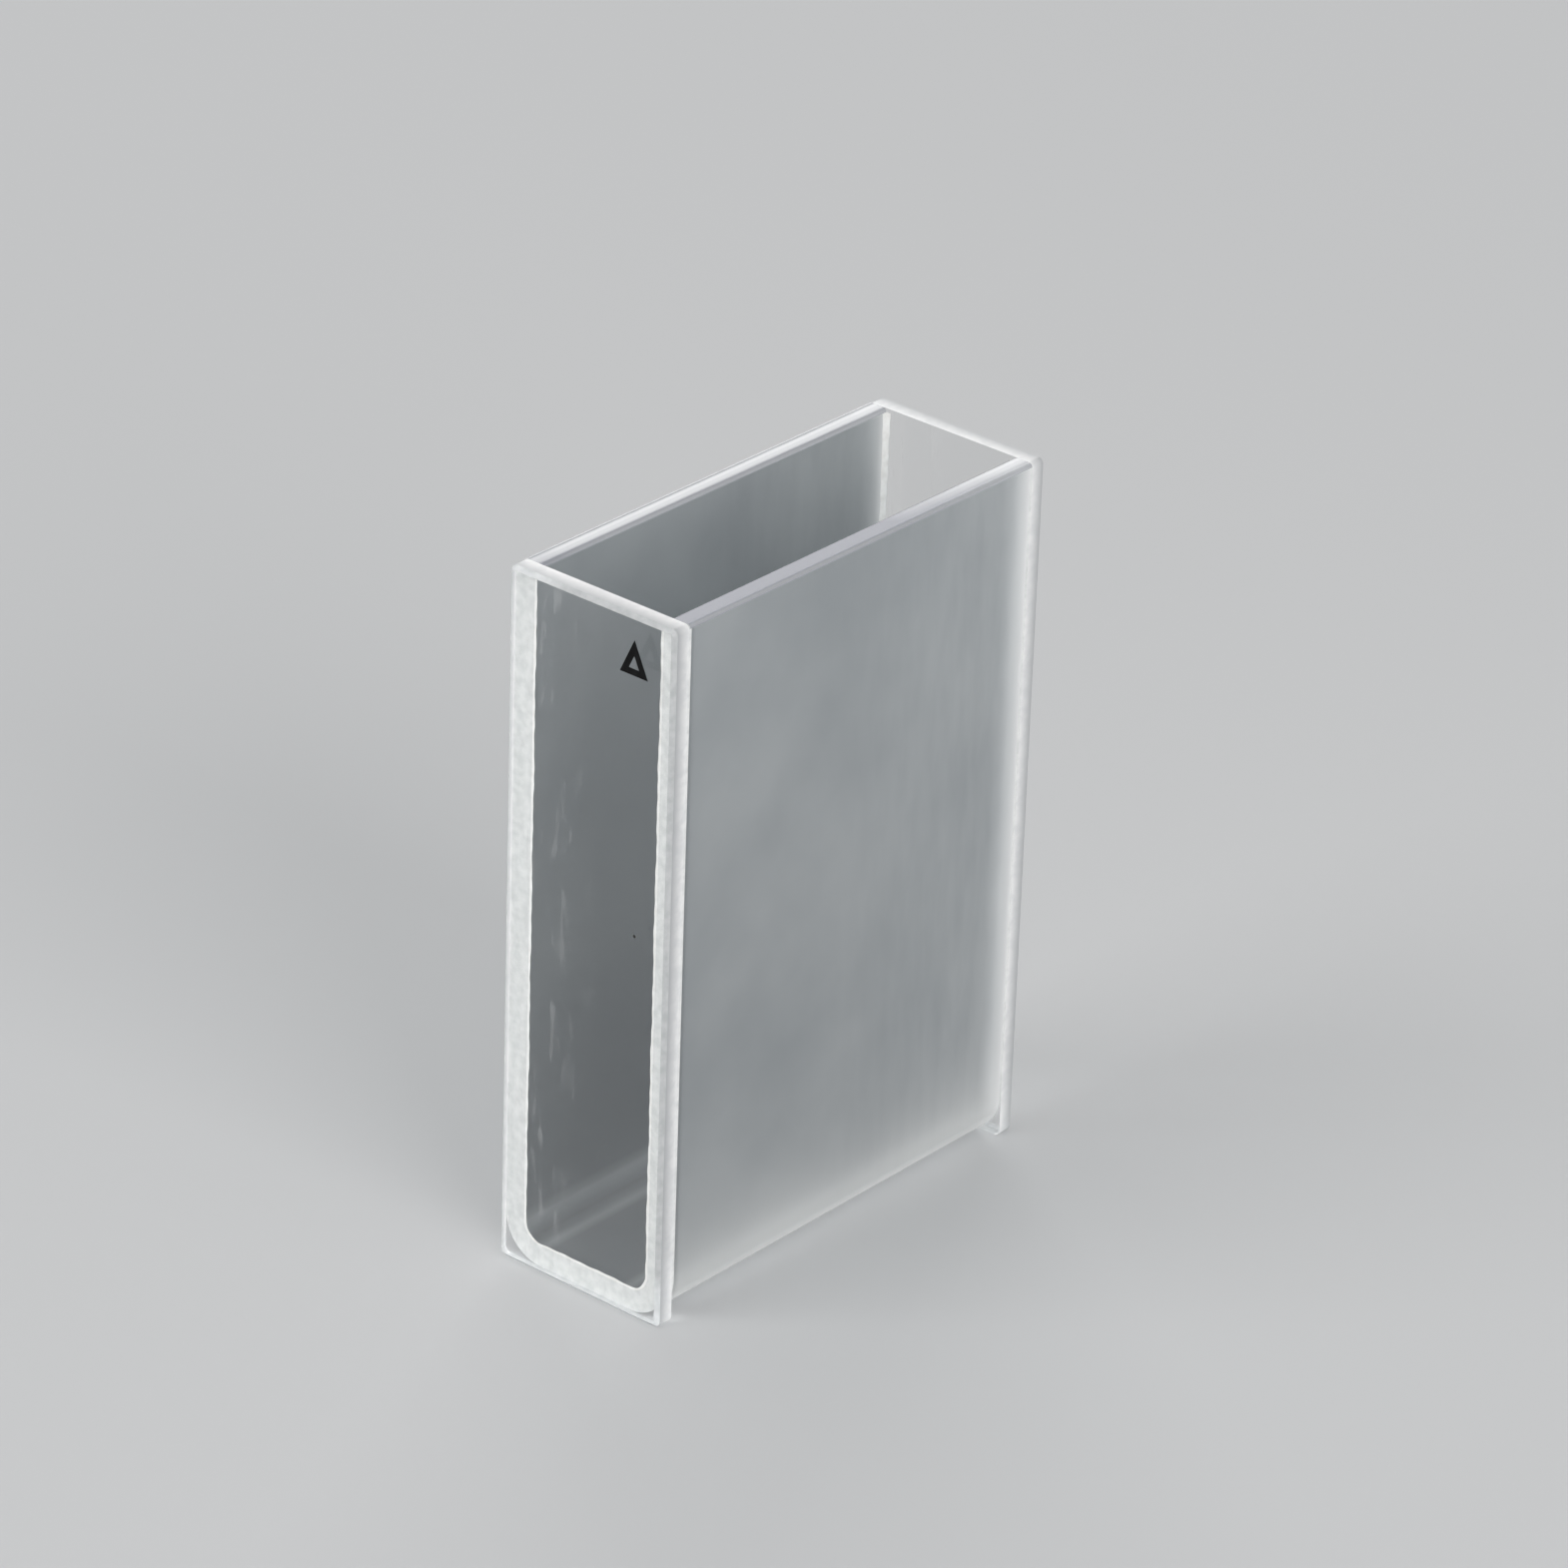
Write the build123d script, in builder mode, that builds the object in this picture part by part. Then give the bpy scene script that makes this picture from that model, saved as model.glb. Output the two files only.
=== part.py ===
from build123d import *
import os

# A rectangular quartz cuvette, open at the top. A ground trough, bent as one U, has a polished
# window fused over each end. Lengths are in millimetres, +Z is up, the light path runs along Y,
# and the origin is in the middle of the underside.

# Whole cell
light_path = 30.0  # between the windows' inner faces
cell_width = 12.5  # outside, across the light path
cell_height = 45.0

# Trough
trough_wall = 1.4
trough_floor = 1.4
inner_corner = 1.3  # inside radius of the two bends
rim_round = 0.25  # fire-polished edges of the two rims

# Windows
window_thickness = 1.25
window_corner = 0.4  # the plates' four corners are only just broken
window_bevel = 0.25  # around the polished outer face

# The bends keep the wall's thickness, and each window seats on an end of the trough.
outer_corner = inner_corner + trough_wall
inner_width = cell_width - 2 * trough_wall
trough_end = light_path / 2

os.makedirs("parts", exist_ok=True)

# Trough: two side walls and the floor as one U section, drawn out to the length of the light path.
with BuildPart() as trough:
    with BuildSketch(Plane.XZ):
        with BuildLine():
            outside = FilletPolyline(
                (-cell_width / 2, cell_height),
                (-cell_width / 2, 0),
                (cell_width / 2, 0),
                (cell_width / 2, cell_height),
                radius=outer_corner,
            )
            inside = FilletPolyline(
                (inner_width / 2, cell_height),
                (inner_width / 2, trough_floor),
                (-inner_width / 2, trough_floor),
                (-inner_width / 2, cell_height),
                radius=inner_corner,
            )
            Line(outside @ 1, inside @ 0)
            Line(inside @ 1, outside @ 0)
        make_face()
    extrude(amount=trough_end, both=True)
    rims = trough.faces().group_by(Axis.Z)[-1]
    fillet(rims.edges().filter_by(Axis.Y), radius=rim_round)
trough.part.label = "trough"
export_step(trough.part, "parts/trough.step")

# Front window: a square-cornered plate over the trough's front end. Its lower corners stand clear of
# the trough's bends.
with BuildPart() as front_window:
    with BuildSketch(Plane.XZ.offset(trough_end)):
        with Locations((0, cell_height / 2)):
            RectangleRounded(cell_width, cell_height, window_corner)
    extrude(amount=window_thickness)
    polished_face = front_window.faces().sort_by(Axis.Y)[0]
    chamfer(polished_face.edges(), length=window_bevel)
front_window.part.label = "front_window"
export_step(front_window.part, "parts/front_window.step")

# Rear window: the same plate, turned to face the other way over the rear end.
with BuildPart() as rear_window:
    mirror(front_window.part, about=Plane.XZ)
rear_window.part.label = "rear_window"
export_step(rear_window.part, "parts/rear_window.step")
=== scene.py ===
"""Looks of a quartz cuvette with a 30 mm light path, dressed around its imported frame.

A ground trough, bent as one U, has a polished window fused over each end. Lengths are in metres, or in
millimetres where a name ends in _mm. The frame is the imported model's: +Z up, the light path along Y, and
the origin in the middle of the underside.
"""

import logging
import math
from abc import ABC, abstractmethod
from collections.abc import Mapping, Sequence
from dataclasses import dataclass, field
from enum import Enum

import bmesh
import bpy
from mathutils import Matrix, Vector


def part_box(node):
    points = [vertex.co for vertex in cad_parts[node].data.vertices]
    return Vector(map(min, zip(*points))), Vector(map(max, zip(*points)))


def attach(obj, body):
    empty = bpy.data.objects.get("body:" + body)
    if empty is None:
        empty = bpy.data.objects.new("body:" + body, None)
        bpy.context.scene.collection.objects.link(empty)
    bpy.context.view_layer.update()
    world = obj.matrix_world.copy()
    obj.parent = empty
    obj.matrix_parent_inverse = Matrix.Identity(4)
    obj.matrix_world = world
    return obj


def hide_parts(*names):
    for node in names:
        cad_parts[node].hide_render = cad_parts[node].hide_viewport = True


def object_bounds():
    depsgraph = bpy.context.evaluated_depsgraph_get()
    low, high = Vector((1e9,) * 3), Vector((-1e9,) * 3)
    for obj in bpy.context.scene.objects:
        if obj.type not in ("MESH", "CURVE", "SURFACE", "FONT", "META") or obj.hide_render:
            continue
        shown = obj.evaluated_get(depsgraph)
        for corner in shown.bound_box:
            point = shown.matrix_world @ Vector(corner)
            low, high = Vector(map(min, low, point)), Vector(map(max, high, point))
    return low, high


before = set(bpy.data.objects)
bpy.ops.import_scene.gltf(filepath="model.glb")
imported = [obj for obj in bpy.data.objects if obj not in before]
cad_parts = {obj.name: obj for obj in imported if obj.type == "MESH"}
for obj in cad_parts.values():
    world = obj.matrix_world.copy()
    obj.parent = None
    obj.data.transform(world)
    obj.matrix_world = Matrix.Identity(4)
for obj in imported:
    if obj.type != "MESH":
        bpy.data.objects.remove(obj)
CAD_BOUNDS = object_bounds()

MM = 0.001
BODY = "root"
QUARTZ_IOR = 1.458
QUARTER_TURN_DEG = 90
BYTE_MAX = 255
SRGB_KNEE = 0.04045
SRGB_SLOPE = 12.92
SRGB_OFFSET = 0.055
SRGB_POWER = 2.4
log = logging.getLogger("cuvette")

Point = tuple[float, float]
Span = tuple[float, float]
Triple = tuple[float, float, float]
Colour = tuple[float, float, float, float]
Tone = Colour | bpy.types.NodeSocket


class Side(Enum):
    """Which end of the light path a piece closes, as the sign of its place along Y."""

    FRONT = -1
    REAR = 1


class Slot(Enum):
    """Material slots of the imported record."""

    GROUND = "ground_quartz"
    POLISHED = "polished_quartz"
    MARK = "printed_mark"


def linear(hex_colour: str) -> Colour:
    """Turns an sRGB hex colour into Blender's linear colour.

    Args:
        hex_colour: A colour such as "#8A8F90".

    Returns:
        Linear red, green and blue, with an alpha of one.
    """
    red, green, blue = (
        part / SRGB_SLOPE
        if part <= SRGB_KNEE
        else ((part + SRGB_OFFSET) / (1 + SRGB_OFFSET)) ** SRGB_POWER
        for part in (byte / BYTE_MAX for byte in bytes.fromhex(hex_colour[1:]))
    )
    return (red, green, blue, 1.0)


def add_node(
    tree: bpy.types.NodeTree,
    kind: str,
    inputs: Mapping[int | str, object] | None = None,
    **settings: object,
) -> bpy.types.Node:
    """Adds a node, sets its own properties, and fills or links its inputs.

    Args:
        tree: The node tree of a material or of the world.
        kind: Blender's type name for the node.
        inputs: Input name or index, with a plain value or the output socket that feeds it.
        settings: Properties of the node itself, such as operation="MULTIPLY".

    Returns:
        The new node.
    """
    node = tree.nodes.new(kind)
    for name, value in settings.items():
        setattr(node, name, value)
    for key, value in (inputs or {}).items():
        if isinstance(value, bpy.types.NodeSocket):
            tree.links.new(value, node.inputs[key])
        else:
            node.inputs[key].default_value = value
    return node


def per_metre(size_mm: float) -> float:
    """Texture scale at which one feature of a noise is about this many millimetres wide."""
    return 1.0 / (size_mm * MM)


@dataclass(frozen=True)
class Band:
    """A soft-edged band of painted light or shade, by its place on a measure across the surface."""

    at_mm: float
    half_mm: float
    colour: str


def blend(
    tree: bpy.types.NodeTree,
    amount: bpy.types.NodeSocket,
    ends: Span,
    first: Tone,
    second: Tone,
) -> bpy.types.NodeSocket:
    """Blends one colour into another with an amount that varies over the surface.

    Args:
        tree: The material's node tree.
        amount: The socket that gives the amount.
        ends: The amounts at which only the first and only the second colour are left.
        first: The colour at the first end, or the socket that gives it.
        second: The colour at the second end, or the socket that gives it.

    Returns:
        The socket that gives the blended colour.
    """
    share = add_node(
        tree, "ShaderNodeMapRange", {"Value": amount, "From Min": ends[0], "From Max": ends[1]}
    )
    mix = add_node(
        tree, "ShaderNodeMixRGB", {"Fac": share.outputs[0], "Color1": first, "Color2": second}
    )
    return mix.outputs["Color"]


def draw_bands(
    tree: bpy.types.NodeTree, tone: Tone, measure: bpy.types.NodeSocket, bands: Sequence[Band]
) -> Tone:
    """Draws bands over a tone, each strongest along its middle.

    Args:
        tree: The material's node tree.
        tone: The colour to draw on, or the socket that gives it.
        measure: The place across the surface, in metres.
        bands: The bands, from the lowest layer up.

    Returns:
        The socket that gives the colour with its bands, or the plain tone where there are none.
    """
    for band in bands:
        offset = add_node(tree, "ShaderNodeMath", {0: measure, 1: band.at_mm * MM}, operation="SUBTRACT")
        away = add_node(tree, "ShaderNodeMath", {0: offset.outputs[0]}, operation="ABSOLUTE")
        tone = blend(tree, away.outputs[0], (band.half_mm * MM, 0.0), tone, linear(band.colour))
    return tone


class Finish(ABC):
    """A material that is named for what the real one is and how its surface was made."""

    name: str
    shadow: str | None = None

    @abstractmethod
    def shade(self, tree: bpy.types.NodeTree) -> bpy.types.NodeSocket:
        """Adds the finish's own nodes and gives the shader that they end in."""

    def build(self) -> bpy.types.Material:
        """Makes the material. Where it has a shadow colour, lamps shine through it, dimmed by that colour.

        Returns:
            The material, ready to be put on a mesh.
        """
        material = bpy.data.materials.new(self.name)
        material.use_nodes = True
        tree = material.node_tree
        tree.nodes.clear()
        shader = self.shade(tree)
        if self.shadow:
            ray = add_node(tree, "ShaderNodeLightPath")
            through = add_node(tree, "ShaderNodeBsdfTransparent", {"Color": linear(self.shadow)})
            mix = add_node(
                tree,
                "ShaderNodeMixShader",
                {0: ray.outputs["Is Shadow Ray"], 1: shader, 2: through.outputs[0]},
            )
            shader = mix.outputs[0]
        add_node(tree, "ShaderNodeOutputMaterial", {"Surface": shader})
        return material


@dataclass(frozen=True)
class Relief:
    """The fine unevenness of a surface: how deep it is and how strongly it shows."""

    depth_mm: float
    strength: float


class UnevenQuartz(Finish):
    """Fused quartz whose surface is not quite smooth."""

    roughness: float
    relief: Relief

    def surface(
        self,
        tree: bpy.types.NodeTree,
        colour: Tone,
        clarity: bpy.types.NodeSocket | float,
        height: bpy.types.NodeSocket,
    ) -> bpy.types.NodeSocket:
        """Adds the quartz itself, with its relief.

        Args:
            tree: The material's node tree.
            colour: The quartz's colour, or the socket that gives it.
            clarity: The share of light that it lets through, or the socket that gives it.
            height: The socket that gives the height of the relief.

        Returns:
            The shader.
        """
        bump = add_node(
            tree,
            "ShaderNodeBump",
            {"Strength": self.relief.strength, "Distance": self.relief.depth_mm * MM, "Height": height},
        )
        shader = add_node(
            tree,
            "ShaderNodeBsdfPrincipled",
            {
                "Base Color": colour,
                "Roughness": self.roughness,
                "IOR": QUARTZ_IOR,
                "Transmission Weight": clarity,
                "Normal": bump.outputs["Normal"],
            },
        )
        return shader.outputs[0]


@dataclass(frozen=True)
class GroundQuartz(UnevenQuartz):
    """Fused quartz, ground with fine grit."""

    # To the eye: a soft grey haze that blurs what lies behind, cloudy, with faint upright smears towards
    # the rear. At the foot and the rear bond it is whitened as a glow, which is painted light, and lets
    # less light through; inside the cell the foot is instead darkened, which is painted shade. It is a
    # thread clearer along the front bond. Bands of painted light or shade run along its bends, placed from
    # the corner, an (x, z) pair, where wall and floor would meet unbent. The higher a fall, the closer a
    # change keeps to its edge.
    half_length: float
    corner: Point
    name: str = "fused_quartz_ground"
    shadow: str | None = "#D8DADB"
    deep: str = "#A7ACAF"
    pale: str = "#B8BCBE"
    tone_ends: Span = (0.35, 0.65)
    # Painted light: foot and rear are the whites of the glow painted at the foot and the rear bond; a dark
    # foot is painted shade.
    foot: str = "#ECECEA"
    rear: str = "#FAFAFA"
    roughness: float = 0.42
    transmission: float = 0.5
    foot_transmission: float = 0.2
    rear_transmission: float = 0.3
    front_transmission: float = 0.9
    foot_low_mm: float = 0.0
    foot_high_mm: float = 16.0
    foot_fall: float = 4.0
    rear_reach_mm: float = 4.2
    rear_fall: float = 4.0
    front_reach_mm: float = 0.6
    front_fall: float = 1.5
    bends: tuple[Band, ...] = ()
    cloud_mm: float = 10.0
    cloud_detail: float = 3.0
    streak_mm: float = 1.0
    streak_detail: float = 2.0
    streak_stretch: Triple = (1.0, 1.0, 0.2)
    streak_share: float = 0.45
    streak_from_mm: float = -4.0
    streak_full_mm: float = 10.0
    # The real grit is about 0.02 mm, far too fine for the picture, so it is drawn coarser.
    grit_mm: float = 0.25
    grit_detail: float = 1.0
    relief: Relief = Relief(depth_mm=0.004, strength=0.3)

    def shade(self, tree: bpy.types.NodeTree) -> bpy.types.NodeSocket:
        """Adds the haze, its clouds and smears, its painted glow and shade, the clearer front bond, and
        the bands.

        Args:
            tree: The material's node tree.

        Returns:
            The shader.
        """
        place = add_node(tree, "ShaderNodeTexCoord").outputs["Object"]
        axes = add_node(tree, "ShaderNodeSeparateXYZ", {0: place}).outputs
        clouds = add_node(
            tree,
            "ShaderNodeTexNoise",
            {"Vector": place, "Scale": per_metre(self.cloud_mm), "Detail": self.cloud_detail},
        )
        upright = add_node(
            tree, "ShaderNodeVectorMath", {0: place, 1: self.streak_stretch}, operation="MULTIPLY"
        )
        streaks = add_node(
            tree,
            "ShaderNodeTexNoise",
            {
                "Vector": upright.outputs[0],
                "Scale": per_metre(self.streak_mm),
                "Detail": self.streak_detail,
            },
        )
        smeared = add_node(
            tree,
            "ShaderNodeMapRange",
            {
                "Value": axes["Y"],
                "From Min": self.streak_from_mm * MM,
                "From Max": self.streak_full_mm * MM,
                "To Max": self.streak_share,
            },
        )
        both = add_node(
            tree,
            "ShaderNodeMix",
            {"Factor": smeared.outputs[0], "A": clouds.outputs["Fac"], "B": streaks.outputs["Fac"]},
        )
        colour = blend(tree, both.outputs[0], self.tone_ends, linear(self.deep), linear(self.pale))
        rear_start = self.half_length - self.rear_reach_mm * MM
        front_start = self.front_reach_mm * MM - self.half_length
        masks: list[bpy.types.NodeSocket] = []
        for along, start, stop, fall in (
            (axes["Z"], self.foot_high_mm * MM, self.foot_low_mm * MM, self.foot_fall),
            (axes["Y"], rear_start, self.half_length, self.rear_fall),
            (axes["Y"], front_start, -self.half_length, self.front_fall),
        ):
            nearness = add_node(
                tree, "ShaderNodeMapRange", {"Value": along, "From Min": start, "From Max": stop}
            )
            mask = add_node(tree, "ShaderNodeMath", {0: nearness.outputs[0], 1: fall}, operation="POWER")
            masks.append(mask.outputs[0])
        foot, rear, front = masks
        # Painted light: foot and rear bond blend to their whites as a glow; a dark foot, inside the cell,
        # is painted shade.
        for mask, there in ((foot, self.foot), (rear, self.rear)):
            mix = add_node(
                tree, "ShaderNodeMixRGB", {"Fac": mask, "Color1": colour, "Color2": linear(there)}
            )
            colour = mix.outputs["Color"]
        # Round a bend, the measure grows from the upright wall to the level floor.
        out = add_node(tree, "ShaderNodeMath", {0: axes["X"]}, operation="ABSOLUTE")
        low = add_node(tree, "ShaderNodeMath", {0: out.outputs[0], 1: axes["Z"]}, operation="ADD")
        turned = add_node(
            tree, "ShaderNodeMath", {0: sum(self.corner), 1: low.outputs[0]}, operation="SUBTRACT"
        )
        # Painted light and shade: the bends' bands are painted highlight and shade lines.
        colour = draw_bands(tree, colour, turned.outputs[0], self.bends)
        clarity: bpy.types.NodeSocket | float = self.transmission
        for mask, there in (
            (foot, self.foot_transmission),
            (rear, self.rear_transmission),
            (front, self.front_transmission),
        ):
            mix = add_node(tree, "ShaderNodeMix", {"Factor": mask, "A": clarity, "B": there})
            clarity = mix.outputs[0]
        grit = add_node(
            tree,
            "ShaderNodeTexNoise",
            {"Vector": place, "Scale": per_metre(self.grit_mm), "Detail": self.grit_detail},
        )
        return self.surface(tree, colour, clarity, grit.outputs["Fac"])


@dataclass(frozen=True)
class Fade:
    """A change of colour with the distance along the light path from the middle of the cell."""

    from_mm: float
    to_mm: float
    colour: str


@dataclass(frozen=True)
class ScatteringQuartz(UnevenQuartz):
    """Fused quartz whose surface or powder scatters light: frit, ground edges and arrises."""

    # To the eye: chalky or frosty white, slightly mottled, brighter than the wide ground faces.
    name: str
    pale: str
    deep: str
    roughness: float
    transmission: float
    shadow: str | None = None
    fade: Fade | None = None
    tone_ends: Span = (0.35, 0.62)
    mottle_mm: float = 0.6
    mottle_detail: float = 3.0
    relief: Relief = Relief(depth_mm=0.006, strength=0.35)

    def shade(self, tree: bpy.types.NodeTree) -> bpy.types.NodeSocket:
        """Adds the mottled white, its fade and its grain.

        Args:
            tree: The material's node tree.

        Returns:
            The shader.
        """
        place = add_node(tree, "ShaderNodeTexCoord").outputs["Object"]
        mottle = add_node(
            tree,
            "ShaderNodeTexNoise",
            {"Vector": place, "Scale": per_metre(self.mottle_mm), "Detail": self.mottle_detail},
        ).outputs["Fac"]
        tone = blend(tree, mottle, self.tone_ends, linear(self.deep), linear(self.pale))
        if self.fade:
            axes = add_node(tree, "ShaderNodeSeparateXYZ", {0: place})
            out = add_node(tree, "ShaderNodeMath", {0: axes.outputs["Y"]}, operation="ABSOLUTE")
            ends = (self.fade.from_mm * MM, self.fade.to_mm * MM)
            tone = blend(tree, out.outputs[0], ends, tone, linear(self.fade.colour))
        return self.surface(tree, tone, self.transmission, mottle)


FRIT = ScatteringQuartz(
    "quartz_frit_fused", pale="#E4E5E4", deep="#D3D5D4", roughness=0.6, transmission=0.0
)
FRIT_BEAD = ScatteringQuartz(
    "quartz_frit_bead", pale="#F8F8F6", deep="#ECEBE8", roughness=0.6, transmission=0.0
)
GROUND_EDGE = ScatteringQuartz(
    "fused_quartz_ground_edge",
    pale="#F8F8F8",
    deep="#EAEBEC",
    roughness=0.38,
    transmission=0.18,
    shadow="#E2E4E4",
    # Painted shade: the ground edge greys towards the outer face, along its crease with the bevel.
    fade=Fade(from_mm=15.1, to_mm=16.0, colour="#B4B6B8"),
)
# Painted shade: a darker, opaque copy of the ground edge, for the faces that a window stands on.
SHADED_GROUND_FOOT = ScatteringQuartz(
    "fused_quartz_ground_foot_shaded",
    pale="#D6D8D9",
    deep="#C6C9CA",
    roughness=0.6,
    transmission=0.0,
    shadow="#E2E4E4",
)
ARRIS = ScatteringQuartz(
    "fused_quartz_arris",
    pale="#ECEEEF",
    deep="#DADDDE",
    roughness=0.25,
    transmission=0.4,
    shadow="#E2E4E4",
)


@dataclass(frozen=True)
class FirePolishedQuartz(UnevenQuartz):
    """Fused quartz whose cut edge was melted smooth in a flame."""

    # To the eye: a soft, slightly wavy gleam. Its tone is painted light: lilac-grey, painted shade, at the
    # front, clearing to white, painted as lit, towards the rear, with a pale edge at the front of the near
    # rim.
    # Elsewhere it is white with fine lines of painted highlight and shade. The edge band is painted light
    # over the shaded tone and painted shade over the lit one. Lines and edge are placed towards +X, from a
    # line on each wall that lies this far from the middle of the cell.
    line_reach: float
    name: str = "fused_quartz_fire_polished"
    shadow: str | None = "#D8DADB"
    shaded_colour: str = "#888A95"
    lit_colour: str = "#D2D3D6"
    drift: Triple = (-2.2, 1.0, 0.0)
    shaded_mm: float = -7.7
    lit_mm: float = 2.3
    light_and_shade_lines: tuple[Band, ...] = (
        Band(at_mm=-0.64, half_mm=0.1, colour="#E6E7E9"),
        Band(at_mm=-0.45, half_mm=0.12, colour="#5E6166"),
        Band(at_mm=-0.17, half_mm=0.2, colour="#E6E7E9"),
        Band(at_mm=0.45, half_mm=0.28, colour="#A4A6AB"),
    )
    edge: Band = Band(at_mm=0.75, half_mm=0.22, colour="#B2B4B8")
    roughness: float = 0.24
    transmission: float = 0.25
    wave_mm: float = 3.0
    wave_detail: float = 2.0
    wave_shift_mm: float = 3.0
    relief: Relief = Relief(depth_mm=0.02, strength=0.3)

    def shade(self, tree: bpy.types.NodeTree) -> bpy.types.NodeSocket:
        """Adds the painted light along the rims, their painted highlight and shade lines, and their waves.

        Args:
            tree: The material's node tree.

        Returns:
            The shader.
        """
        place = add_node(tree, "ShaderNodeTexCoord").outputs["Object"]
        axes = add_node(tree, "ShaderNodeSeparateXYZ", {0: place}).outputs
        waves = add_node(
            tree,
            "ShaderNodeTexNoise",
            {"Vector": place, "Scale": per_metre(self.wave_mm), "Detail": self.wave_detail},
        ).outputs["Fac"]
        drift = add_node(tree, "ShaderNodeVectorMath", {0: place, 1: self.drift}, operation="DOT_PRODUCT")
        along = add_node(
            tree,
            "ShaderNodeMath",
            {0: waves, 1: self.wave_shift_mm * MM, 2: drift.outputs["Value"]},
            operation="MULTIPLY_ADD",
        )
        which = add_node(tree, "ShaderNodeMath", {0: axes["X"]}, operation="SIGN")
        across = add_node(
            tree,
            "ShaderNodeMath",
            {0: which.outputs[0], 1: -self.line_reach, 2: axes["X"]},
            operation="MULTIPLY_ADD",
        ).outputs[0]
        lined = draw_bands(tree, linear(self.lit_colour), across, self.light_and_shade_lines)
        ends = (self.shaded_mm * MM, self.lit_mm * MM)
        # Painted light: the shaded lilac-grey at the front gives way to the lit white towards the rear.
        tone = blend(tree, along.outputs[0], ends, linear(self.shaded_colour), lined)
        # The edge band is painted light over the shaded tone and painted shade over the lit one.
        colour = draw_bands(tree, tone, across, (self.edge,))
        return self.surface(tree, colour, self.transmission, waves)


@dataclass(frozen=True)
class PolishedQuartz(Finish):
    """Fused quartz, lapped to an optical polish."""

    # To the eye: clear and colourless, with a faint mirror, a few dried rinse marks near one edge and one
    # dark grain of dirt.
    name: str = "fused_quartz_polished"
    colour: str = "#FCFCFC"
    shadow: str | None = "#F0F1F1"
    mark_mm: float = 0.7
    mark_detail: float = 2.0
    mark_stretch: Triple = (1.0, 1.0, 0.22)
    mark_low: float = 0.6
    mark_high: float = 0.74
    mark_from_mm: float = 1.0
    mark_full_mm: float = -5.0
    mark_transmission: float = 0.85
    mark_roughness: float = 0.12
    grain_colour: str = "#1C1E1E"
    grain_at_mm: Triple = (3.8, -16.25, 25.0)
    grain_mm: float = 0.11
    grain_blur_mm: float = 0.04

    def shade(self, tree: bpy.types.NodeTree) -> bpy.types.NodeSocket:
        """Adds clear glass with faint marks and the grain.

        Args:
            tree: The material's node tree.

        Returns:
            The shader.
        """
        place = add_node(tree, "ShaderNodeTexCoord").outputs["Object"]
        upright = add_node(
            tree, "ShaderNodeVectorMath", {0: place, 1: self.mark_stretch}, operation="MULTIPLY"
        )
        wisps = add_node(
            tree,
            "ShaderNodeTexNoise",
            {
                "Vector": upright.outputs[0],
                "Scale": per_metre(self.mark_mm),
                "Detail": self.mark_detail,
            },
        )
        wisp = add_node(
            tree,
            "ShaderNodeMapRange",
            {"Value": wisps.outputs["Fac"], "From Min": self.mark_low, "From Max": self.mark_high},
        )
        axes = add_node(tree, "ShaderNodeSeparateXYZ", {0: place})
        near_edge = add_node(
            tree,
            "ShaderNodeMapRange",
            {
                "Value": axes.outputs["X"],
                "From Min": self.mark_from_mm * MM,
                "From Max": self.mark_full_mm * MM,
            },
        )
        mark = add_node(
            tree, "ShaderNodeMath", {0: wisp.outputs[0], 1: near_edge.outputs[0]}, operation="MULTIPLY"
        )
        from_grain = add_node(
            tree,
            "ShaderNodeVectorMath",
            {0: place, 1: [place_mm * MM for place_mm in self.grain_at_mm]},
            operation="DISTANCE",
        )
        grain = add_node(
            tree,
            "ShaderNodeMapRange",
            {
                "Value": from_grain.outputs["Value"],
                "From Min": (self.grain_mm + self.grain_blur_mm) * MM,
                "From Max": self.grain_mm * MM,
            },
        )
        colour = add_node(
            tree,
            "ShaderNodeMixRGB",
            {
                "Fac": grain.outputs[0],
                "Color1": linear(self.colour),
                "Color2": linear(self.grain_colour),
            },
        )
        washed = add_node(
            tree, "ShaderNodeMix", {"Factor": mark.outputs[0], "A": 1.0, "B": self.mark_transmission}
        )
        clarity = add_node(
            tree, "ShaderNodeMix", {"Factor": grain.outputs[0], "A": washed.outputs[0], "B": 0.0}
        )
        roughness = add_node(
            tree, "ShaderNodeMix", {"Factor": mark.outputs[0], "A": 0.0, "B": self.mark_roughness}
        )
        shader = add_node(
            tree,
            "ShaderNodeBsdfPrincipled",
            {
                "Base Color": colour.outputs["Color"],
                "Roughness": roughness.outputs[0],
                "IOR": QUARTZ_IOR,
                "Transmission Weight": clarity.outputs[0],
            },
        )
        return shader.outputs[0]


@dataclass(frozen=True)
class FiredInk(Finish):
    """Ceramic ink, screen-printed and fired on."""

    # To the eye: matt black, a little thin and grey in places.
    name: str = "ceramic_ink_fired"
    full: str = "#060607"
    thin: str = "#141516"
    roughness: float = 0.7
    specular: float = 0.15
    cloud_mm: float = 0.5
    cloud_detail: float = 2.0
    tone_ends: Span = (0.45, 0.75)

    def shade(self, tree: bpy.types.NodeTree) -> bpy.types.NodeSocket:
        """Adds the uneven black film.

        Args:
            tree: The material's node tree.

        Returns:
            The shader.
        """
        place = add_node(tree, "ShaderNodeTexCoord").outputs["Object"]
        clouds = add_node(
            tree,
            "ShaderNodeTexNoise",
            {"Vector": place, "Scale": per_metre(self.cloud_mm), "Detail": self.cloud_detail},
        )
        tone = blend(tree, clouds.outputs["Fac"], self.tone_ends, linear(self.full), linear(self.thin))
        shader = add_node(
            tree,
            "ShaderNodeBsdfPrincipled",
            {"Base Color": tone, "Roughness": self.roughness, "Specular IOR Level": self.specular},
        )
        return shader.outputs[0]


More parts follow.
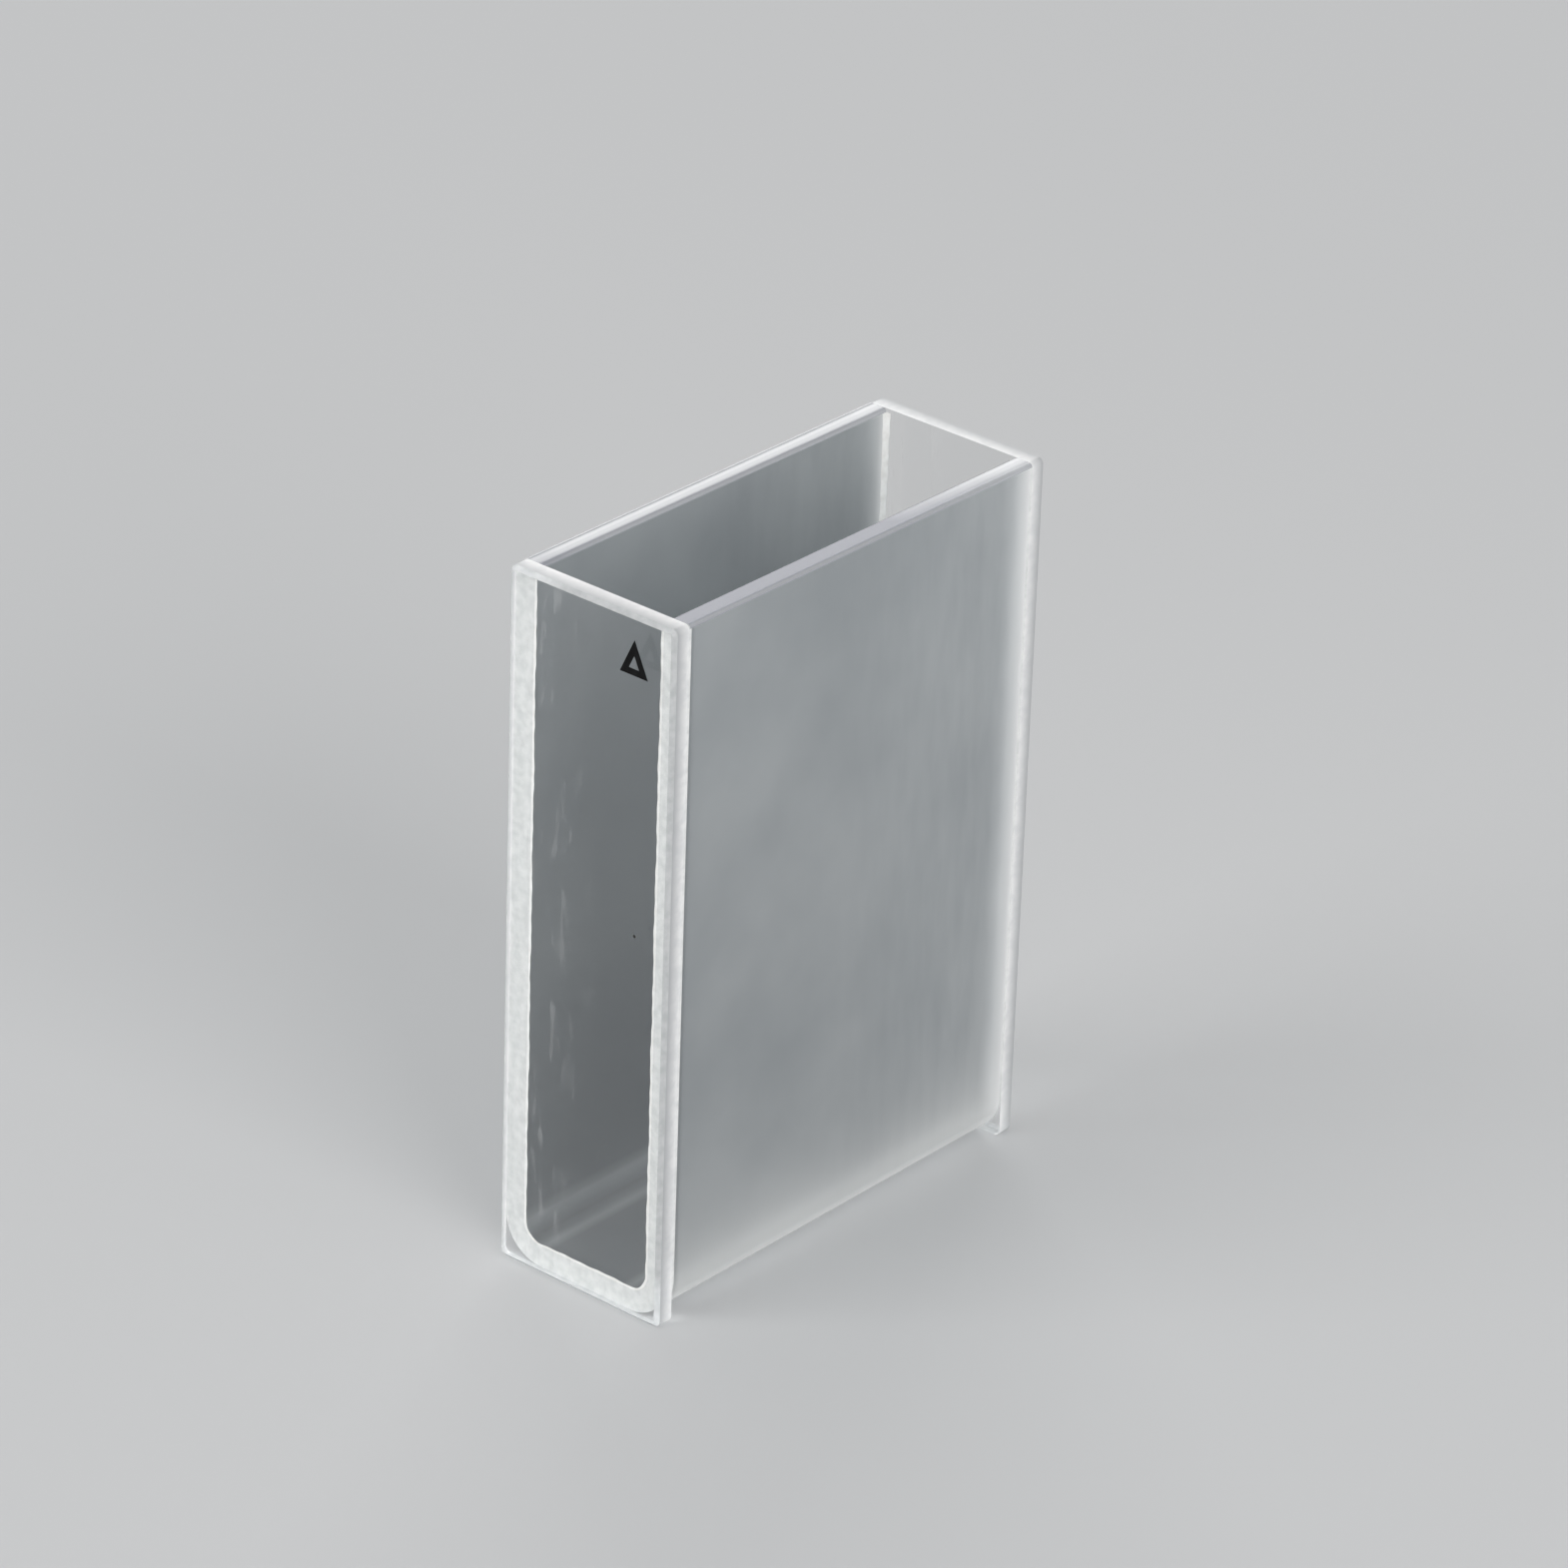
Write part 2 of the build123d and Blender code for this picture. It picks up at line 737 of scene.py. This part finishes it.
@dataclass(frozen=True)
class FloorPaint(Finish):
    """Matt pale paint on the studio floor."""

    # To the eye: an even, pale grey that takes soft shadows.
    name: str = "studio_floor_paint"
    colour: str = "#C6C7C8"
    roughness: float = 0.9

    def shade(self, tree: bpy.types.NodeTree) -> bpy.types.NodeSocket:
        """Adds the plain paint.

        Args:
            tree: The material's node tree.

        Returns:
            The shader.
        """
        shader = add_node(
            tree,
            "ShaderNodeBsdfPrincipled",
            {"Base Color": linear(self.colour), "Roughness": self.roughness},
        )
        return shader.outputs[0]


def arc(centre: Point, radius: float, start: float, stop: float, steps: int) -> list[Point]:
    """Points along an arc in a flat section.

    Args:
        centre: The arc's centre.
        radius: The arc's radius.
        start: First angle in degrees, from +X towards +Z.
        stop: Last angle in degrees.
        steps: Number of equal steps.

    Returns:
        The points, ends included.
    """
    angles = [math.radians(start + (stop - start) * i / steps) for i in range(steps + 1)]
    return [(centre[0] + radius * math.cos(a), centre[1] + radius * math.sin(a)) for a in angles]


def finish_mesh(
    name: str, mesh: bmesh.types.BMesh, materials: Sequence[bpy.types.Material], sharp_deg: float = 30.0
) -> bpy.types.Object:
    """Turns a built mesh into a shaded object in the scene.

    Args:
        name: The object's name.
        mesh: The finished mesh, which is freed.
        materials: Materials in the order that the faces' material_index uses.
        sharp_deg: Edges that turn by more than this stay sharp.

    Returns:
        The object.
    """
    bmesh.ops.recalc_face_normals(mesh, faces=mesh.faces)
    data = bpy.data.meshes.new(name)
    mesh.to_mesh(data)
    mesh.free()
    for material in materials:
        data.materials.append(material)
    data.shade_smooth()
    data.set_sharp_from_angle(angle=math.radians(sharp_deg))
    piece = bpy.data.objects.new(name, data)
    bpy.context.scene.collection.objects.link(piece)
    weigh = piece.modifiers.new("flat_faces_stay_flat", "WEIGHTED_NORMAL")
    weigh.keep_sharp = True
    return piece


def bridge(
    mesh: bmesh.types.BMesh,
    near: Sequence[bmesh.types.BMVert],
    far: Sequence[bmesh.types.BMVert],
    closed: bool = True,
) -> list[bmesh.types.BMFace]:
    """Joins two rows of equally many points with a band of four-sided faces.

    Args:
        mesh: The mesh that both rows belong to.
        near: The first row.
        far: The second row.
        closed: Whether the rows are loops, whose last point leads back to the first.

    Returns:
        The new faces, in the rows' order.
    """
    count = len(near)
    sides = [(i, (i + 1) % count) for i in range(count if closed else count - 1)]
    return [mesh.faces.new((near[i], near[j], far[j], far[i])) for i, j in sides]


@dataclass
class Trough:
    """The U of ground quartz: two side walls and the floor, bent as one, with fire-polished rims."""

    node: str = "trough"
    wall: float = 1.4 * MM
    floor: float = 1.4 * MM
    inner_corner: float = 1.3 * MM
    rim_round: float = 0.25 * MM
    rim_line: float = 0.81 * MM
    # The gap keeps the trough's ends just off the windows, so that no two faces lie in one plane.
    bond_gap: float = 0.01 * MM
    bond_line: float = 0.14 * MM
    bend_steps: int = 20
    rim_steps: int = 6

    def skin(self, half_width: float, base: float, corner: float, rim_side: int) -> list[Point]:
        """One skin of the U, from the left rim round to the right rim.

        Args:
            half_width: Half the distance between the skin's two upright faces.
            base: Height of the skin's level stretch.
            corner: Radius of its two bends.
            rim_side: 1 if the wall lies inside the skin, -1 if it lies outside.

        Returns:
            The points, each an (x, z) pair.
        """
        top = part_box(self.node)[1].z
        small = self.rim_round
        quarter = QUARTER_TURN_DEG
        right = arc((half_width - corner, base + corner), corner, -quarter, 0, self.bend_steps)
        edge_start = 0 if rim_side > 0 else 2 * quarter
        rim_centre = (half_width - rim_side * small, top - small)
        right += arc(rim_centre, small, edge_start, quarter, self.rim_steps)
        left = [(-x, z) for x, z in reversed(right)]
        return left + right

    def inner_skin(self) -> list[Point]:
        """The skin that the sample touches, each point an (x, z) pair."""
        low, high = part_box(self.node)
        return self.skin(high.x - self.wall, low.z + self.floor, self.inner_corner, -1)

    def dress(self) -> list[bpy.types.Material]:
        """Makes the trough's materials.

        Returns:
            The materials of the outside, the inside, the bonds and the rims.
        """
        low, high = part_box(self.node)
        inside_floor = low.z + self.floor
        finishes = [
            # Outside, the foot is whitened as a painted glow and lets less light through, with a painted
            # highlight line along each bend.
            GroundQuartz(
                high.y,
                (high.x, low.z),
                bends=(Band(at_mm=0.2, half_mm=1.9, colour="#FFFFFF"),),
            ),
            # Inside, the haze is a darker copy of the outside, painted shade, and is painted darker still
            # towards the floor, with pale and dark bands of painted light and shade along each bend.
            GroundQuartz(
                high.y,
                (high.x - self.wall, inside_floor),
                name="fused_quartz_ground_inside_shaded",
                deep="#999EA1",
                pale="#A9AEB0",
                foot="#6B6F72",
                foot_transmission=0.5,
                foot_low_mm=inside_floor / MM,
                foot_high_mm=high.z / MM,
                foot_fall=0.7,
                rear_reach_mm=3.0,
                bends=(
                    Band(at_mm=-1.0, half_mm=0.9, colour="#8E9194"),
                    Band(at_mm=0.4, half_mm=0.5, colour="#5C5F61"),
                    Band(at_mm=1.55, half_mm=0.6, colour="#8E9194"),
                ),
            ),
            FRIT,
            FirePolishedQuartz(high.x - self.rim_line),
        ]
        return [finish.build() for finish in finishes]

    def build(self) -> bpy.types.Object:
        """Builds the trough's mesh from its two skins and dresses it.

        Returns:
            The trough, in place of the CAD node.
        """
        low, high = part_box(self.node)
        outer = self.skin(high.x, low.z, self.inner_corner + self.wall, 1)
        front, rear = low.y + self.bond_gap, high.y - self.bond_gap
        stations = (front, front + self.bond_line, rear - self.bond_line, rear)
        mesh = bmesh.new()
        materials = self.dress()
        outside, inside, bond, rim = range(len(materials))
        outer_rows, inner_rows = (
            [[mesh.verts.new((x, y, z)) for x, z in skin] for y in stations]
            for skin in (outer, self.inner_skin())
        )
        last = len(outer) - 1
        rim_faces = {*range(self.rim_steps), *range(last - self.rim_steps, last)}
        for rows, ground in ((outer_rows, outside), (inner_rows, inside)):
            for near, far, finish in zip(rows, rows[1:], (bond, ground, bond)):
                for i, face in enumerate(bridge(mesh, near, far, closed=False)):
                    face.material_index = rim if i in rim_faces else finish
        for end in (0, -1):
            for face in bridge(mesh, outer_rows[end], inner_rows[end], closed=False):
                face.material_index = bond
        for i in (0, last):
            outer_edge, inner_edge = ([row[i] for row in rows] for rows in (outer_rows, inner_rows))
            for face in bridge(mesh, outer_edge, inner_edge, closed=False):
                face.material_index = rim
        piece = finish_mesh("quartz_trough", mesh, materials)
        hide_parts(self.node)
        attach(piece, BODY)
        return piece


@dataclass
class Window:
    """A square-cornered polished plate, with ground edges and a bevel round its outer face."""

    node: str
    side: Side
    materials: list[bpy.types.Material]
    bevel: float = 0.25 * MM
    corner: float = 0.4 * MM
    corner_steps: int = 6
    standing_tolerance: float = 0.005 * MM

    def outline(self, inset: float) -> list[Point]:
        """The plate's outline.

        Args:
            inset: How far inside the full outline it runs.

        Returns:
            The points, each an (x, z) pair.
        """
        low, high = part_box(self.node)
        right, left = high.x - self.corner, low.x + self.corner
        top, bottom = high.z - self.corner, low.z + self.corner
        points: list[Point] = []
        for turn, centre in enumerate(((right, top), (left, top), (left, bottom), (right, bottom))):
            start = turn * QUARTER_TURN_DEG
            points += arc(centre, self.corner - inset, start, start + QUARTER_TURN_DEG, self.corner_steps)
        return points

    def build(self) -> bpy.types.Object:
        """Builds the plate's mesh and dresses it.

        Returns:
            The window, in place of the CAD node.
        """
        low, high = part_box(self.node)
        seat, face = (high.y, low.y) if self.side is Side.FRONT else (low.y, high.y)
        shoulder = face - self.side.value * self.bevel
        mesh = bmesh.new()
        loops = [
            [mesh.verts.new((x, y, z)) for x, z in self.outline(inset)]
            for y, inset in ((seat, 0.0), (shoulder, 0.0), (face, self.bevel))
        ]
        polish, edge, arris, foot = range(len(self.materials))
        underside = low.z + self.standing_tolerance
        for near, far, material in zip(loops, loops[1:], (edge, arris)):
            for facet in bridge(mesh, near, far):
                # Faces that the plate stands on take the darker copy of the ground edge, which is painted
                # shade.
                stands = material == edge and all(corner.co.z < underside for corner in facet.verts)
                facet.material_index = foot if stands else material
        for loop in (loops[0], loops[-1]):
            mesh.faces.new(loop).material_index = polish
        piece = finish_mesh(f"quartz_{self.node}", mesh, self.materials)
        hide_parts(self.node)
        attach(piece, BODY)
        return piece


@dataclass
class FusedBead:
    """The white bead of frit that runs out along the inner corner between the trough and a window."""

    trough: Trough
    side: Side
    frit: bpy.types.Material
    front_leg: float = 0.17 * MM
    rear_leg: float = 0.28 * MM
    swell: float = 0.0175 * MM
    clear: float = 0.008 * MM
    spacing: float = 0.25 * MM
    waves: Triple = (9.1 * MM, 3.7 * MM, 1.3 * MM)

    def path(self) -> list[tuple[Point, Point]]:
        """Points along the inner corner with the direction into the chamber, rim roundings left off.

        Returns:
            Pairs of an (x, z) place and an (x, z) unit direction.
        """
        rounding = self.trough.rim_steps
        corners = [Vector(p) for p in self.trough.inner_skin()][rounding:-rounding]
        stations: list[tuple[Point, Point]] = []
        for start, stop in zip(corners, corners[1:]):
            run = stop - start
            inward = Vector((-run.y, run.x)).normalized()
            steps = max(1, round(run.length / self.spacing))
            for i in range(steps):
                stations.append((tuple(start.lerp(stop, i / steps)), tuple(inward)))
        stations.append((tuple(corners[-1]), stations[-1][1]))
        return stations

    def reach(self, run: float) -> float:
        """Finds how wide the bead is, which a few waves of unlike length make uneven.

        Args:
            run: The distance along the bead's path.

        Returns:
            The bead's width on the wall and on the window.
        """
        phase = self.side.value
        leg = self.front_leg if self.side is Side.FRONT else self.rear_leg
        return leg + self.swell * sum(math.sin(math.tau * run / wave + phase) for wave in self.waves)

    def build(self) -> bpy.types.Object:
        """Builds the bead as a closed strip of three-sided section.

        Returns:
            The bead.
        """
        low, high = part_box(self.trough.node)
        seat = (low.y if self.side is Side.FRONT else high.y) - self.side.value * self.clear
        into_cell = -self.side.value
        mesh = bmesh.new()
        rows: list[list[bmesh.types.BMVert]] = []
        run = 0.0
        stations = self.path()
        for i, (place, inward) in enumerate(stations):
            if i:
                run += math.dist(place, stations[i - 1][0])
            reach = self.reach(run)
            root = [p + self.clear * d for p, d in zip(place, inward)]
            tip = [p + reach * d for p, d in zip(place, inward)]
            section = ((root, seat), (tip, seat), (root, seat + into_cell * reach))
            rows.append([mesh.verts.new((x, y, z)) for (x, z), y in section])
        for near, far in zip(rows, rows[1:]):
            bridge(mesh, near, far)
        mesh.faces.new(rows[0])
        mesh.faces.new(rows[-1])
        piece = finish_mesh(f"fused_bead_{self.side.name.lower()}", mesh, [self.frit])
        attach(piece, BODY)
        return piece


@dataclass
class OrientationMark:
    """A small printed triangle near the top of the front window, to show which way the cell goes in."""

    node: str = "front_window"
    width: float = 2.1 * MM
    height: float = 2.2 * MM
    stroke: float = 0.42 * MM
    film: float = 0.012 * MM
    from_middle: float = 3.3 * MM
    below_rim: float = 3.7 * MM

    def triangle(self, inset: float) -> list[Point]:
        """The triangle's corners.

        Args:
            inset: How far inside the printed outline its sides lie.

        Returns:
            The points, each an (x, z) pair.
        """
        middle_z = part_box(self.node)[1].z - self.below_rim
        half = self.width / 2
        slope = math.hypot(half, self.height)
        foot = half - inset * (half + slope) / self.height
        peak = self.height - inset * slope / half
        return [
            (self.from_middle - foot, middle_z + inset),
            (self.from_middle + foot, middle_z + inset),
            (self.from_middle, middle_z + peak),
        ]

    def build(self) -> bpy.types.Object:
        """Builds the printed film on the window's outer face.

        Returns:
            The mark.
        """
        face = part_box(self.node)[0].y
        depths = (face, face - self.film)
        mesh = bmesh.new()
        outer, inner = (
            [[mesh.verts.new((x, y, z)) for x, z in self.triangle(inset)] for y in depths]
            for inset in (0.0, self.stroke)
        )
        loops = (outer[0], outer[1], inner[1], inner[0], outer[0])
        for near, far in zip(loops, loops[1:]):
            bridge(mesh, near, far)
        piece = finish_mesh("orientation_mark", mesh, [FiredInk().build()])
        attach(piece, BODY)
        return piece


@dataclass
class Softbox:
    """A large soft lamp that looks at the middle of the cuvette."""

    name: str
    place: Vector
    size: float
    watts: float

    def build(self) -> bpy.types.Object:
        """Hangs the lamp.

        Returns:
            The lamp.
        """
        lamp = bpy.data.lights.new(self.name, "AREA")
        lamp.shape = "SQUARE"
        lamp.size = self.size
        lamp.energy = self.watts
        holder = bpy.data.objects.new(self.name, lamp)
        middle = (CAD_BOUNDS[0] + CAD_BOUNDS[1]) / 2
        turn = (self.place - middle).to_track_quat("Z", "Y").to_matrix().to_4x4()
        holder.matrix_world = Matrix.Translation(self.place) @ turn
        bpy.context.scene.collection.objects.link(holder)
        return holder


@dataclass
class Studio:
    """Pale floor, soft lamps and an even pale surround."""

    floor_half: float = 1.5
    floor_drop: float = 0.02 * MM
    surround: str = "#C6C7C8"
    fill: str = "#FFFFFF"
    fill_strength: float = 0.4
    lamps: list[Softbox] = field(
        default_factory=lambda: [
            Softbox("front_left_softbox", place=Vector((-0.35, -0.75, 0.70)), size=0.6, watts=4.6),
            Softbox("right_softbox", place=Vector((0.85, -0.25, 0.40)), size=0.6, watts=6.0),
            Softbox("back_left_softbox", place=Vector((-0.57, 0.68, 0.50)), size=0.6, watts=2.6),
        ]
    )

    def build(self) -> None:
        """Builds the floor, the lamps and the world."""
        half = self.floor_half
        mesh = bmesh.new()
        corners = ((-half, -half), (half, -half), (half, half), (-half, half))
        mesh.faces.new([mesh.verts.new((x, y, -self.floor_drop)) for x, y in corners])
        finish_mesh("studio_floor", mesh, [FloorPaint().build()])
        for lamp in self.lamps:
            lamp.build()
        self.build_world()

    def build_world(self) -> None:
        """Builds the surround: plain fill light, which the eye and the glass see as pale grey."""
        world = bpy.data.worlds.new("studio_surround")
        world.use_nodes = True
        tree = world.node_tree
        tree.nodes.clear()
        ray = add_node(tree, "ShaderNodeLightPath").outputs
        through = add_node(
            tree,
            "ShaderNodeMath",
            {0: ray["Is Camera Ray"], 1: ray["Is Transmission Ray"]},
            operation="MAXIMUM",
        )
        seen = add_node(
            tree,
            "ShaderNodeMath",
            {0: through.outputs[0], 1: ray["Is Glossy Ray"]},
            operation="MAXIMUM",
        )
        lit = add_node(
            tree, "ShaderNodeBackground", {"Color": linear(self.fill), "Strength": self.fill_strength}
        )
        shown = add_node(tree, "ShaderNodeBackground", {"Color": linear(self.surround)})
        mix = add_node(
            tree, "ShaderNodeMixShader", {0: seen.outputs[0], 1: lit.outputs[0], 2: shown.outputs[0]}
        )
        add_node(tree, "ShaderNodeOutputWorld", {"Surface": mix.outputs[0]})
        bpy.context.scene.world = world


@dataclass
class PhotoCamera:
    """The camera that took the photograph, as fitted to the cuvette's corners."""

    azimuth_deg: float = 39.98
    elevation_deg: float = 27.12
    roll_deg: float = 1.96
    distance: float = 439.22 * MM
    focal_px: float = 7514.58
    image_px: float = 1570.0
    slide_right: float = 0.79 * MM
    slide_up: float = 4.33 * MM
    clip_start: float = 10.0 * MM

    def build(self) -> bpy.types.Object:
        """Places the camera and makes it the scene's own.

        Returns:
            The camera.
        """
        azimuth, elevation, roll = (
            math.radians(a) for a in (self.azimuth_deg, self.elevation_deg, self.roll_deg)
        )
        back = Vector(
            (
                math.sin(azimuth) * math.cos(elevation),
                -math.cos(azimuth) * math.cos(elevation),
                math.sin(elevation),
            )
        )
        level = Vector((math.cos(azimuth), math.sin(azimuth), 0.0))
        rise = back.cross(level)
        right = math.cos(roll) * level + math.sin(roll) * rise
        up = -math.sin(roll) * level + math.cos(roll) * rise
        middle = (CAD_BOUNDS[0] + CAD_BOUNDS[1]) / 2
        place = middle + self.slide_right * right + self.slide_up * up + self.distance * back
        lens = bpy.data.cameras.new("photo_camera")
        lens.lens = lens.sensor_width * self.focal_px / self.image_px
        lens.clip_start = self.clip_start
        camera = bpy.data.objects.new("photo_camera", lens)
        camera.matrix_world = Matrix.Translation(place) @ Matrix((right, up, back)).transposed().to_4x4()
        bpy.context.scene.collection.objects.link(camera)
        bpy.context.scene.camera = camera
        return camera


def main() -> None:
    """Builds the cuvette and its studio, and logs how many faces each built piece has."""
    logging.basicConfig(level=logging.INFO, format="%(name)s: %(message)s")
    bpy.context.scene.view_settings.view_transform = "Standard"
    window_materials = [f.build() for f in (PolishedQuartz(), GROUND_EDGE, ARRIS, SHADED_GROUND_FOOT)]
    trough = Trough()
    pieces = [trough.build()]
    frit = FRIT_BEAD.build()
    for node, side in (("front_window", Side.FRONT), ("rear_window", Side.REAR)):
        pieces.append(Window(node, side, window_materials).build())
        pieces.append(FusedBead(trough, side, frit).build())
    pieces.append(OrientationMark().build())
    for piece in pieces:
        log.info("%s: %d faces", piece.name, len(piece.data.polygons))
    Studio().build()
    PhotoCamera().build()


if __name__ == "__main__":
    main()
